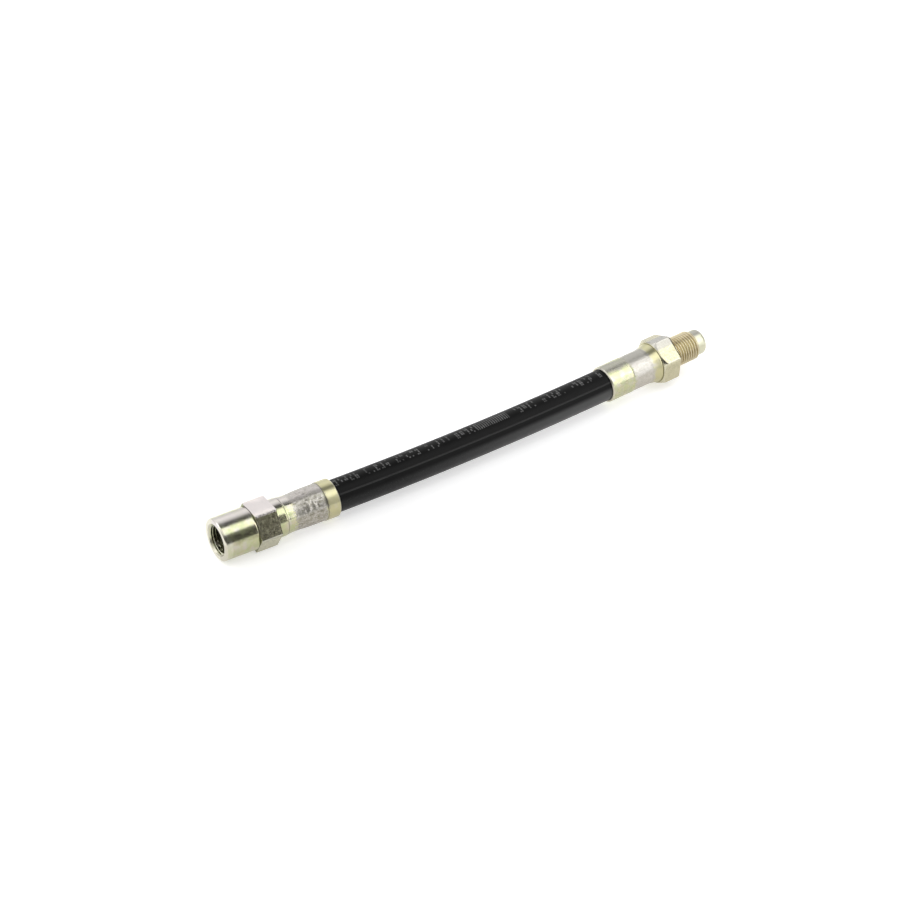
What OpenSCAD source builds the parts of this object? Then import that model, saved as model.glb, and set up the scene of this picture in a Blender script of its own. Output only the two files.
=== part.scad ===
// Short hydraulic brake hose: a two-braid rubber hose with a crimped steel fitting on each end.
// The female fitting's axis is the X axis. Its port's mouth is at the origin and opens towards -X.
// The hose leaves along +X and bows gently towards +Y, and the assembly lies on the plane
// Z = -wrench_af / 2, on a flat of the female hexagon and on a corner of the male one.

/* [Hose] */
// Outside diameter of the hose
hose_od = 10.5; // [10:0.1:11]
// Inside diameter of the hose
hose_bore = 3.2; // [3:0.1:3.4]
// Length of hose between the mouths of the two shells
hose_free = 103.5; // [80:0.5:400]
// Angle that the hose turns through between its ends, in degrees
hose_bow = 4.7; // [3:0.1:20]
// Wall of the inner rubber tube
tube_wall = 0.95; // [0.9:0.05:1]
// Thickness of each braid
braid_wall = 0.35; // [0.3:0.05:0.4]
// Rubber between the two braids
cushion_wall = 0.25; // [0.2:0.05:0.3]

/* [Both fittings] */
// Major diameter of the male thread
thread_od = 9.9; // [9.8:0.01:9.97]
// Minor diameter of the female thread
thread_id = 8.95; // [8.92:0.01:9.15]
// Width across the flats of both hexagons
wrench_af = 14; // [14:0.5:15]
// Diameter of the drilled fluid passage
passage_d = 3.2; // [2.8:0.1:3.4]
// Straight chamfer on turned edges
edge_chamfer = 0.4; // [0.3:0.1:0.5]

/* [Female fitting] */
// Diameter of the round collar at the port
collar_od = 13.94; // [13.2:0.02:13.96]
// Length of the collar
collar_len = 11.5; // [10.5:0.1:12]
// Length of the female hexagon
female_wrench_len = 7.4; // [7:0.1:9]
// Full depth of the threaded bore
port_depth = 12.4; // [11:0.1:13]
// Shell's outside diameter beside the crimp
female_shell_od = 12.4; // [12.2:0.1:12.6]
// Shell's outside diameter in the crimp
female_crimp_od = 12.1; // [12:0.1:12.1]
// Plain shell left at its mouth
female_mouth_len = 4.6; // [4:0.1:8]
// Length of the crimp
female_crimp_len = 13.9; // [10:0.1:15]
// Plain shell left between the crimp and the hexagon
female_root_len = 3.2; // [3:0.1:5]

/* [Male fitting] */
// Shell's outside diameter at its mouth
male_shell_od = 12; // [12:0.1:12.3]
// Shell's outside diameter in the crimp
male_crimp_od = 11.8; // [11.7:0.1:11.9]
// Plain shell left at its mouth
male_mouth_len = 9.2; // [5:0.1:10]
// Length of the crimp
male_crimp_len = 7.6; // [7:0.1:12]
// Length of the neck between the crimp and the hexagon
male_neck_len = 3.4; // [3:0.1:6]
// Diameter that the neck widens to where it meets the hexagon
male_flare_od = 13.2; // [12.4:0.1:13.4]
// Length over which the neck widens
male_flare_len = 3; // [2:0.1:3.2]
// Length of the male hexagon
male_wrench_len = 6.8; // [5:0.1:8]
// How far the male hexagon is turned past standing on its corner, in degrees
male_wrench_turn = 6; // [0:1:10]
// Length of the male thread
thread_len = 10.2; // [8:0.1:12]
// Diameter of the plain nose
nose_d = 8.5; // [8:0.1:8.7]
// Length of the plain nose
nose_len = 3.7; // [2:0.1:6]

/* [Nipples] */
// Bore of the nipple
nipple_bore = 2.3; // [2:0.1:2.4]
// Diameter of the nipple's stem
nipple_stem_d = 3.5; // [3.4:0.1:3.6]
// Diameter over the barbs
nipple_barb_d = 3.9; // [3.8:0.05:3.9]
// Diameter of the part pressed into the fitting
nipple_seat_d = 4.4; // [4.2:0.1:4.6]
// Length pressed into the fitting
nipple_seat_len = 3; // [2:0.5:3.5]
// Number of barbs
barb_count = 4; // [2:1:4]
// Distance from one barb to the next
barb_pitch = 2.6; // [2.4:0.1:2.6]

/* [Hidden] */
ring_facets = 96;
arc_facets = 2400;
$fn = ring_facets;

steel_colour = [0.79, 0.77, 0.58];
nipple_colour = [0.72, 0.72, 0.7];
rubber_colour = [0.06, 0.06, 0.06];
braid_colour = [0.82, 0.78, 0.68];

// How far a cut runs past the face that it opens, and how far joined solids run into each other
past = 1;
// Gap between a layer of the hose and the metal that it is clamped against
fit_gap = 0.02;
// Gap between the hose's cut end and the bottom of the shell
end_gap = 0.2;
// Hose inside the shell beyond the crimp
tail_len = 1.2;
// Length over which the shell changes diameter at each end of the crimp
crimp_ramp = 0.4;
// Wall of the shell where the crimp has thickened it
crimp_wall = 1;
// Depth of the countersink at the port's mouth
port_countersink = 0.9;
// Half of the drill point's angle at the port's bottom
drill_half_angle = 60;
// Depths in the shell between which the nipple spreads the hose
spread_start = 0.2;
spread_end = 2.2;
// How far the clamped end of a layer runs into its free length, and how much thinner it is there
root_len = 0.5;
root_step = 0.03;
// Depth in the shell of the nipple's free end
nipple_tip = 2.5;
// Chamfer on the end of the nose
nose_round = 0.8;
// Straight lip at the wide end of the male neck
flare_lip = 0.2;
// Radii at which the chamfers on the male hexagon's corners start, at the neck and at the thread
neck_face_r = 6.9;
thread_face_r = 7.7;
// Angles of those chamfers from the hexagon's faces
neck_chamfer_angle = 45;
thread_chamfer_angle = 30;

hose_r = hose_od / 2;
corner_r = wrench_af / sqrt(3);
shell_bore_r = hose_r + 0.08;
female_len = collar_len + female_wrench_len + female_root_len + female_crimp_len + female_mouth_len;
male_wrench_start = male_mouth_len + male_crimp_len + male_neck_len;
thread_start = male_wrench_start + male_wrench_len;
nose_start = thread_start + thread_len;
male_len = nose_start + nose_len;
female_socket = female_mouth_len + female_crimp_len + tail_len;
male_socket = male_mouth_len + male_crimp_len + tail_len;

// The hose lies on one arc, in a plane leaning just enough to lift the male end onto its corner
arc_r = hose_free / (hose_bow * PI / 180);
wrench_rise = corner_r * cos(male_wrench_turn) - wrench_af / 2;
wrench_offset = arc_r * (1 - cos(hose_bow)) + male_wrench_start * sin(hose_bow);
lean = asin(wrench_rise / wrench_offset);

// Radii of the hose's layers, from the bore out: free, spread by the nipple, and under the crimp
tube_radii = [hose_bore / 2, nipple_barb_d / 2 + fit_gap, nipple_barb_d / 2 + fit_gap];
tube_out = grown(tube_radii, tube_wall, 0.8, 0.75);
inner_braid_out = grown(tube_out, braid_wall, 0.95, 0.9);
cushion_out = grown(inner_braid_out, cushion_wall, 0.9, 0.85);
outer_braid_out = grown(cushion_out, braid_wall, 0.95, 0.9);
female_cover_out = [hose_r, shell_bore_r - fit_gap, female_crimp_od / 2 - crimp_wall - fit_gap];
male_cover_out = [hose_r, shell_bore_r - fit_gap, male_crimp_od / 2 - crimp_wall - fit_gap];

// The outer radii of a layer from its inner ones, with its wall thinned where it is stretched
function grown(inner, wall, spread, crimp) =
    [inner[0] + wall, inner[1] + wall * spread, inner[2] + wall * crimp];

// A layer's surface inside a shell, from its root in the free length to the hose's cut end, as
// [radius, depth] points. The root's radius is a little inside the layer's own wall.
function layer_line(radii, root_r, mouth_len, crimp_len) = [
    [root_r, -root_len],
    [root_r, spread_start],
    [radii[1], spread_end],
    [radii[1], mouth_len],
    [radii[2], mouth_len + crimp_ramp],
    [radii[2], mouth_len + crimp_len - crimp_ramp],
    [radii[1], mouth_len + crimp_len],
    [radii[1], mouth_len + crimp_len + tail_len - end_gap]
];

function reversed(list) = [for (i = [len(list) - 1:-1:0]) list[i]];

// A solid of revolution about the X axis, from [radius, distance along X] points
module turned(points) rotate([0, 90, 0]) rotate_extrude() polygon(points);

// A hexagonal bar along X, turned by angle about X from standing on one of its corners
module wrench_bar(length, angle)
    rotate([angle, 0, 0])
        rotate([0, 90, 0])
            cylinder(r = corner_r, h = length, $fn = 6);

// Puts children, drawn from the origin along +X, at the end of the hose's free length
module at_male_end()
    translate([female_len, 0, 0])
        rotate([lean, 0, 0])
            translate([arc_r * sin(hose_bow), arc_r * (1 - cos(hose_bow)), 0])
                rotate([0, 0, hose_bow])
                    rotate([-lean, 0, 0])
                        children();

// Puts children, drawn as above, at the female shell's mouth and running back into the shell
module at_female_end() translate([female_len, 0, 0]) mirror([1, 0, 0]) children();

// One layer's free length
module layer_arc(inner_r, outer_r)
    translate([female_len, 0, 0])
        rotate([lean, 0, 0])
            translate([0, arc_r, 0])
                rotate([0, 0, -90])
                    rotate_extrude(angle = hose_bow, $fn = arc_facets)
                        translate([arc_r, 0])
                            difference() {
                                circle(r = outer_r, $fn = ring_facets);
                                circle(r = inner_r, $fn = ring_facets);
                            }

module layer_end(inner, outer, mouth_len, crimp_len)
    turned(concat(
        layer_line(outer, outer[0] - root_step, mouth_len, crimp_len),
        reversed(layer_line(inner, inner[0] + root_step, mouth_len, crimp_len))
    ));

module hose_layer(inner, outer, male_outer) {
    layer_arc(inner[0], outer[0]);
    at_female_end() layer_end(inner, outer, female_mouth_len, female_crimp_len);
    at_male_end() layer_end(inner, male_outer, male_mouth_len, male_crimp_len);
}

// The space inside a shell for the hose, drawn from the shell's mouth
module hose_socket(mouth_len, crimp_len, crimp_bore_r)
    turned([
        [0, -past],
        [shell_bore_r, -past],
        [shell_bore_r, mouth_len],
        [crimp_bore_r, mouth_len + crimp_ramp],
        [crimp_bore_r, mouth_len + crimp_len - crimp_ramp],
        [shell_bore_r, mouth_len + crimp_len],
        [shell_bore_r, mouth_len + crimp_len + tail_len],
        [0, mouth_len + crimp_len + tail_len]
    ]);

// The nipple, drawn from the shell's mouth, with its seat in the web beyond the hose
module nipple(socket_len) {
    tip = nipple_tip;
    stem_end = socket_len;
    seat_end = socket_len + nipple_seat_len;
    first_barb = tip + barb_pitch;
    barbs = [
        for (i = [0:barb_count - 1])
            each [
                [nipple_barb_d / 2, first_barb + i * barb_pitch],
                [nipple_stem_d / 2, first_barb + i * barb_pitch]
            ]
    ];
    turned(concat(
        [[nipple_bore / 2, tip], [nipple_stem_d / 2, tip]],
        barbs,
        [
            [nipple_stem_d / 2, stem_end],
            [nipple_seat_d / 2, stem_end],
            [nipple_seat_d / 2, seat_end],
            [nipple_bore / 2, seat_end]
        ]
    ));
}

// The seat for the nipple and the fluid passage beyond it, drawn from the shell's mouth
module web_passage(socket_len, passage_end)
    turned([
        [0, socket_len - past],
        [nipple_seat_d / 2, socket_len - past],
        [nipple_seat_d / 2, socket_len + nipple_seat_len],
        [passage_d / 2, socket_len + nipple_seat_len],
        [passage_d / 2, passage_end],
        [0, passage_end]
    ]);

// The outside of a shell, drawn from its mouth to a depth of end_len
module shell_outside(shell_od, crimp_od, mouth_len, crimp_len, end_len)
    turned([
        [0, 0],
        [shell_od / 2 - edge_chamfer, 0],
        [shell_od / 2, edge_chamfer],
        [shell_od / 2, mouth_len],
        [crimp_od / 2, mouth_len + crimp_ramp],
        [crimp_od / 2, mouth_len + crimp_len - crimp_ramp],
        [shell_od / 2, mouth_len + crimp_len],
        [shell_od / 2, end_len],
        [0, end_len]
    ]);

module port_bore() {
    countersink_r = thread_id / 2 + port_countersink;
    point_len = (thread_id - passage_d) / 2 / tan(drill_half_angle);
    turned([
        [0, -past],
        [countersink_r, -past],
        [countersink_r, 0],
        [thread_id / 2, port_countersink],
        [thread_id / 2, port_depth],
        [passage_d / 2, port_depth + point_len],
        [passage_d / 2, port_depth + point_len + past],
        [0, port_depth + point_len + past]
    ]);
}

module female_fitting()
    color(steel_colour)
        difference() {
            union() {
                turned([
                    [0, 0],
                    [collar_od / 2 - edge_chamfer, 0],
                    [collar_od / 2, edge_chamfer],
                    [collar_od / 2, collar_len + past],
                    [0, collar_len + past]
                ]);
                translate([collar_len, 0, 0]) wrench_bar(female_wrench_len, 30);
                at_female_end()
                    shell_outside(
                        female_shell_od, female_crimp_od, female_mouth_len, female_crimp_len,
                        female_len - collar_len - past
                    );
            }
            port_bore();
            at_female_end() {
                hose_socket(female_mouth_len, female_crimp_len, female_crimp_od / 2 - crimp_wall);
                web_passage(female_socket, female_len - port_depth);
            }
        }

module female_nipple() color(nipple_colour) at_female_end() nipple(female_socket);

module male_fitting() {
    thread_r = thread_od / 2;
    nose_r = nose_d / 2;
    clear_r = corner_r + past;
    flare_start = male_wrench_start - flare_lip - male_flare_len;
    neck_chamfer = (clear_r - neck_face_r) * tan(neck_chamfer_angle);
    thread_chamfer = (clear_r - thread_face_r) * tan(thread_chamfer_angle);
    color(steel_colour)
        at_male_end()
            difference() {
                union() {
                    shell_outside(
                        male_shell_od, male_crimp_od, male_mouth_len, male_crimp_len,
                        male_wrench_start + 2 * past
                    );
                    turned([
                        [0, flare_start],
                        [male_shell_od / 2 - root_step, flare_start],
                        [male_flare_od / 2, male_wrench_start - flare_lip],
                        [male_flare_od / 2, male_wrench_start + past],
                        [0, male_wrench_start + past]
                    ]);
                    intersection() {
                        translate([male_wrench_start - past, 0, 0])
                            wrench_bar(male_wrench_len + 2 * past, male_wrench_turn);
                        turned([
                            [0, male_wrench_start],
                            [neck_face_r, male_wrench_start],
                            [clear_r, male_wrench_start + neck_chamfer],
                            [clear_r, thread_start - thread_chamfer],
                            [thread_face_r, thread_start],
                            [0, thread_start]
                        ]);
                    }
                    turned([
                        [0, thread_start - past],
                        [thread_r, thread_start - past],
                        [thread_r, nose_start - (thread_r - nose_r)],
                        [nose_r, nose_start],
                        [nose_r, male_len - nose_round],
                        [nose_r - nose_round, male_len],
                        [0, male_len]
                    ]);
                }
                hose_socket(male_mouth_len, male_crimp_len, male_crimp_od / 2 - crimp_wall);
                web_passage(male_socket, male_len + past);
            }
}

module male_nipple() color(nipple_colour) at_male_end() nipple(male_socket);

module inner_tube() color(rubber_colour) hose_layer(tube_radii, tube_out, tube_out);

module inner_braid() color(braid_colour) hose_layer(tube_out, inner_braid_out, inner_braid_out);

module cushion_layer() color(rubber_colour) hose_layer(inner_braid_out, cushion_out, cushion_out);

module outer_braid() color(braid_colour) hose_layer(cushion_out, outer_braid_out, outer_braid_out);

module cover() color(rubber_colour) hose_layer(outer_braid_out, female_cover_out, male_cover_out);

female_fitting();
female_nipple();
male_fitting();
male_nipple();
inner_tube();
inner_braid();
cushion_layer();
outer_braid();
cover();
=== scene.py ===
"""A short hydraulic brake hose: black rubber hose with a crimped, zinc-plated fitting on each end."""

import math

import bpy
import numpy as np
from mathutils import Matrix, Vector


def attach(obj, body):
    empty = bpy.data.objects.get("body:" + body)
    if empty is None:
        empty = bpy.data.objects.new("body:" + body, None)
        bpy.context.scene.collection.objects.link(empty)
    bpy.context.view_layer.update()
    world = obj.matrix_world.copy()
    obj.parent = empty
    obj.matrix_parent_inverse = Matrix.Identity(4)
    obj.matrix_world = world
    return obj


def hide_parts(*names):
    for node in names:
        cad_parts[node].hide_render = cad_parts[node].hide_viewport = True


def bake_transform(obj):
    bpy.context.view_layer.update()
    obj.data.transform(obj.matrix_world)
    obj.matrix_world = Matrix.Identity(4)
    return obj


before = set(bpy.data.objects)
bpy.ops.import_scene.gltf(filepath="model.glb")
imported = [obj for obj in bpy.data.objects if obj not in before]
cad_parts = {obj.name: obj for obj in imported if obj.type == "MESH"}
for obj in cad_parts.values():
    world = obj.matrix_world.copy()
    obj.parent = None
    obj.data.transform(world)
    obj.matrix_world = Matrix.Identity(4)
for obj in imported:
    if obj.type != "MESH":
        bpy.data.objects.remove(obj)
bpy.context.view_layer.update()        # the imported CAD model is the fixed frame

MM = 0.001

# The object's sizes, in millimetres, as the CAD source has them. Stations on a fitting are measured
# along its own axis: from the port's mouth on the female one, from the shell's mouth on the male one.
WRENCH_FLAT = 7.0
WRENCH_CORNER = WRENCH_FLAT / math.cos(math.radians(30))
CORNER_ROUND = 0.28
PASSAGE_R = 1.6
SEAT_R = 2.2
SEAT_LEN = 3.0
SHELL_BORE_R = 5.33
RAMP = 0.4
TAIL = 1.2
PITCH = 1.0

COLLAR_R = 6.97
COLLAR_LEN = 11.5
FEMALE_WRENCH_END = 18.9
FEMALE_ROOT_END = 22.1
FEMALE_CRIMP_END = 36.0
FEMALE_LEN = 40.6
FEMALE_SHELL_R = 6.2
FEMALE_CRIMP_R = 6.05
PORT_R = 4.475
PORT_DEPTH = 12.4
PORT_CONE_END = 14.06
COUNTERSINK = 0.9
THREAD_ROOT_R = 4.99

MALE_SHELL_R = 6.0
MALE_CRIMP_R = 5.9
MALE_MOUTH_END = 9.2
MALE_CRIMP_END = 16.8
MALE_FLARE_START = 17.0
MALE_FLARE_R = 6.6
FLARE_LIP = 0.2
MALE_WRENCH_START = 20.2
MALE_WRENCH_END = 27.0
MALE_WRENCH_TURN = 6.0
NECK_FACE_R = 6.9
THREAD_FACE_R = 7.7
NECK_CHAMFER = math.radians(45)
THREAD_CHAMFER = math.radians(30)
FLARE_CURVE = 1.2
THREAD_R = 4.95
THREAD_CORE_R = 4.36
THREAD_END = 37.2
NOSE_R = 4.25
MALE_LEN = 40.9
NOSE_ROUND = 0.8

HOSE_R = 5.25
HOSE_FREE = 103.5
HOSE_BOW = math.radians(4.7)
HOSE_IN_FEMALE = 19.5
HOSE_IN_MALE = 17.8
FLOOR_Z = -WRENCH_FLAT * MM

# The hose lies on one arc, in a plane that leans just enough to lift the male end onto its corner
ARC_R = HOSE_FREE / HOSE_BOW
WRENCH_RISE = WRENCH_CORNER * math.cos(math.radians(MALE_WRENCH_TURN)) - WRENCH_FLAT
WRENCH_OFFSET = ARC_R * (1 - math.cos(HOSE_BOW)) + MALE_WRENCH_START * math.sin(HOSE_BOW)
LEAN = math.asin(WRENCH_RISE / WRENCH_OFFSET)

# The camera, at the photograph's viewing angle, in metres and degrees
CAMERA_TARGET = Vector((0.093, 0, 0))
CAMERA_AZIMUTH = -31.917
CAMERA_ELEVATION = 36.74
CAMERA_ROLL = -0.04
CAMERA_DISTANCE = 0.96512
CAMERA_SLIDE_RIGHT = -0.008165
CAMERA_SLIDE_UP = -0.002122
CAMERA_LENS = 122.51

scene = bpy.context.scene


# ---------------------------------------------------------------- camera

def add_camera():
    azimuth = math.radians(CAMERA_AZIMUTH)
    elevation = math.radians(CAMERA_ELEVATION)
    roll = math.radians(CAMERA_ROLL)
    back = Vector((
        math.sin(azimuth) * math.cos(elevation),
        -math.cos(azimuth) * math.cos(elevation),
        math.sin(elevation),
    ))
    level_right = Vector((math.cos(azimuth), math.sin(azimuth), 0))
    level_up = back.cross(level_right)
    right = level_right * math.cos(roll) + level_up * math.sin(roll)
    up = level_up * math.cos(roll) - level_right * math.sin(roll)
    place = CAMERA_TARGET + back * CAMERA_DISTANCE
    place += right * CAMERA_SLIDE_RIGHT + up * CAMERA_SLIDE_UP
    data = bpy.data.cameras.new("Camera")
    data.lens = CAMERA_LENS
    data.sensor_width = 36
    camera = bpy.data.objects.new("Camera", data)
    turn = Matrix((right, up, back)).transposed()
    camera.matrix_world = Matrix.Translation(place) @ turn.to_4x4()
    scene.collection.objects.link(camera)
    scene.camera = camera


add_camera()


# ---------------------------------------------------------------- mesh helpers

def smooth_step(value, low, high):
    t = np.clip((value - low) / (high - low), 0, 1)
    return t * t * (3 - 2 * t)


def spoke_angles(corner):
    """Angles round an axis, in radians from +Y towards +Z, closer together at a hexagon's corners."""
    near = np.array([0.0, 0.35, 0.7, 1.1])
    plain = np.linspace(near[-1], 60 - near[-1], 31)[1:-1]
    sector = np.concatenate([near, plain, 60 - near[:0:-1]])
    return np.radians(np.concatenate([corner + 60 * k + sector for k in range(6)]))


def from_corner(angles, corner):
    """How far each angle is from the nearest corner of a hexagon, in radians."""
    return np.radians((np.degrees(angles) - corner + 30) % 60 - 30)


def hexagon(angles, corner, flat=WRENCH_FLAT, rounding=CORNER_ROUND):
    """Radius of a hexagon with rounded corners at each angle."""
    psi = np.abs(from_corner(angles, corner))
    centre = (flat - rounding) / math.cos(math.radians(30))
    tangent = math.atan2(rounding / 2, centre + rounding * math.cos(math.radians(30)))
    straight = flat / np.cos(math.radians(30) - psi)
    inside = np.maximum(rounding ** 2 - (centre * np.sin(psi)) ** 2, 0)
    return np.where(psi < tangent, centre * np.cos(psi) + np.sqrt(inside), straight)


def soften(points, radius, steps=3):
    """Rounds the inner corners of a line of (station, radius) points."""
    out = [points[0]]
    for before, here, after in zip(points, points[1:], points[2:]):
        p = np.array(here, float)
        to_before = np.array(before, float) - p
        to_after = np.array(after, float) - p
        reach = min(radius, 0.45 * np.linalg.norm(to_before), 0.45 * np.linalg.norm(to_after))
        a = p + to_before / np.linalg.norm(to_before) * reach
        b = p + to_after / np.linalg.norm(to_after) * reach
        for t in np.linspace(0, 1, steps + 1):
            out.append(tuple((1 - t) ** 2 * a + 2 * t * (1 - t) * p + t ** 2 * b))
    out.append(points[-1])
    return out


class Rings:
    """Rings of points round an axis, each with a station, a radius and, at every angle, its edge wear,
    painted glints and painted shade.
    """

    def __init__(self, angles):
        self.angles = angles
        self.station = []
        self.radius = []
        self.wear_and_painted_light = []

    def add(self, station, radius, wear_and_painted_light=0.0):
        ones = np.ones_like(self.angles)
        self.station.append(station * ones)
        self.radius.append(radius * ones)
        self.wear_and_painted_light.append(wear_and_painted_light * ones)

    def line(self, points, wear_and_painted_light=0.0):
        for station, radius in points:
            self.add(station, radius, wear_and_painted_light)

    def local(self):
        """The points in the piece's own frame, in millimetres, with the axis along X."""
        radius = np.array(self.radius)
        y = radius * np.cos(self.angles)
        z = radius * np.sin(self.angles)
        return np.stack([np.array(self.station), y, z], axis=-1)


def closed_skin(name, points, lay, wear_and_painted_light, material, crease=35):
    """A closed mesh from points[ring][spoke] in metres, whose last ring joins its first one."""
    rings, spokes = points.shape[:2]
    here = np.arange(rings * spokes).reshape(rings, spokes)
    along = np.roll(here, -1, axis=0)
    quads = np.stack([here, np.roll(here, -1, axis=1), np.roll(along, -1, axis=1), along], axis=-1)
    mesh = bpy.data.meshes.new(name)
    mesh.from_pydata(points.reshape(-1, 3).tolist(), [], quads.reshape(-1, 4).tolist())
    mesh.attributes.new("lay", "FLOAT_VECTOR", "POINT").data.foreach_set(
        "vector", lay.astype(np.float32).ravel())
    mesh.attributes.new("wear_and_painted_light", "FLOAT", "POINT").data.foreach_set(
        "value", wear_and_painted_light.astype(np.float32).ravel())
    mesh.materials.append(material)
    mesh.shade_smooth()
    mesh.set_sharp_from_angle(angle=math.radians(crease))
    piece = bpy.data.objects.new(name, mesh)
    scene.collection.objects.link(piece)
    return piece


# ---------------------------------------------------------------- material helpers

class Graph:
    """A short way to write a node tree."""

    def __init__(self, tree):
        self.tree = tree
        tree.nodes.clear()

    def add(self, kind, inputs=None, **settings):
        node = self.tree.nodes.new(kind)
        for key, value in settings.items():
            setattr(node, key, value)
        for key, value in (inputs or {}).items():
            self.feed(node.inputs[key], value)
        return node

    def feed(self, socket, value):
        if isinstance(value, bpy.types.NodeSocket):
            self.tree.links.new(value, socket)
        else:
            socket.default_value = value

    def math(self, operation, a, b=0.0, c=0.0):
        inputs = {0: a, 1: b, 2: c}
        return self.add("ShaderNodeMath", inputs, operation=operation).outputs[0]

    def fit(self, value, low, high, to_low=0.0, to_high=1.0):
        inputs = {0: value, 1: low, 2: high, 3: to_low, 4: to_high}
        node = self.add("ShaderNodeMapRange", inputs, interpolation_type="SMOOTHSTEP")
        return node.outputs[0]

    def band(self, value, low, high, soft):
        """1 between low and high, falling to 0 over soft outside them."""
        rise = self.fit(value, low - soft, low)
        fall = self.fit(value, high, high + soft, 1.0, 0.0)
        return self.math("MULTIPLY", rise, fall)

    def mix(self, share, a, b, blend="MIX"):
        node = self.add("ShaderNodeMix", {0: share, 6: a, 7: b}, data_type="RGBA", blend_type=blend)
        return node.outputs[2]

    def blend(self, share, a, b):
        return self.add("ShaderNodeMix", {0: share, 2: a, 3: b}, data_type="FLOAT").outputs[0]

    def stretch(self, vector, x, y, z):
        inputs = {0: vector, 1: (x, y, z)}
        return self.add("ShaderNodeVectorMath", inputs, operation="MULTIPLY").outputs[0]

    def noise(self, vector, scale, detail=3.0, roughness=0.5, distortion=0.0):
        inputs = {"Vector": vector, "Scale": scale, "Detail": detail,
                  "Roughness": roughness, "Distortion": distortion}
        return self.add("ShaderNodeTexNoise", inputs).outputs[0]

    def attribute(self, name, output):
        return self.add("ShaderNodeAttribute", attribute_name=name).outputs[output]

    def split(self, vector):
        return self.add("ShaderNodeSeparateXYZ", {0: vector}).outputs

    def bump(self, height, depth, strength=1.0, below=None):
        """A bump of that depth in millimetres, on top of another one."""
        inputs = {"Height": height, "Distance": depth * MM, "Strength": strength}
        if below is not None:
            inputs["Normal"] = below
        return self.add("ShaderNodeBump", inputs).outputs[0]


def grey(value):
    return (value, value, value, 1)


def new_material(name):
    material = bpy.data.materials.new(name)
    material.use_nodes = True
    return material, Graph(material.node_tree)


def finish_shader(graph, sockets):
    shader = graph.add("ShaderNodeBsdfPrincipled", sockets)
    output = graph.add("ShaderNodeOutputMaterial")
    graph.tree.links.new(shader.outputs[0], output.inputs[0])


# ---------------------------------------------------------------- materials

ZINC_WARM = (0.63, 0.59, 0.41, 1)
ZINC_LIME = (0.565, 0.60, 0.36, 1)
# Pink is a plating tint, and also the female fitting's painted sheen on its top
ZINC_PINK = (0.67, 0.625, 0.615, 1)
# A painted shade for the top of the male fitting
ZINC_MUTED_TOP_SHADE = (0.40, 0.388, 0.35, 1)
ZINC_BAND = (0.62, 0.585, 0.355, 1)
# A painted highlight for the female fitting's top flat
ZINC_TOP_FLAT_SHEEN = (0.86, 0.795, 0.79, 1)
# A painted dark reflection along the female collar's side
ZINC_OLIVE = (0.16, 0.15, 0.08, 1)
ZINC_SHADE = (0.72, 0.70, 0.67, 1)
ZINC_RIM = (0.72, 0.69, 0.57, 1)
ZINC_NOSE = (0.70, 0.70, 0.53, 1)
ZINC_THREAD = (0.76, 0.66, 0.44, 1)
ZINC_SCUFFED = (0.68, 0.655, 0.61, 1)
ZINC_DULL = (0.36, 0.345, 0.295, 1)
ZINC_BAR = (0.42, 0.40, 0.28, 1)
ZINC_STAIN = (0.12, 0.108, 0.066, 1)
ZINC_BRIGHT = (0.76, 0.745, 0.68, 1)
# Painted shade for grooves, crimp lines, dents, thread roots and the bore
ZINC_RECESS_SHADE = (0.035, 0.027, 0.017, 1)


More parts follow.
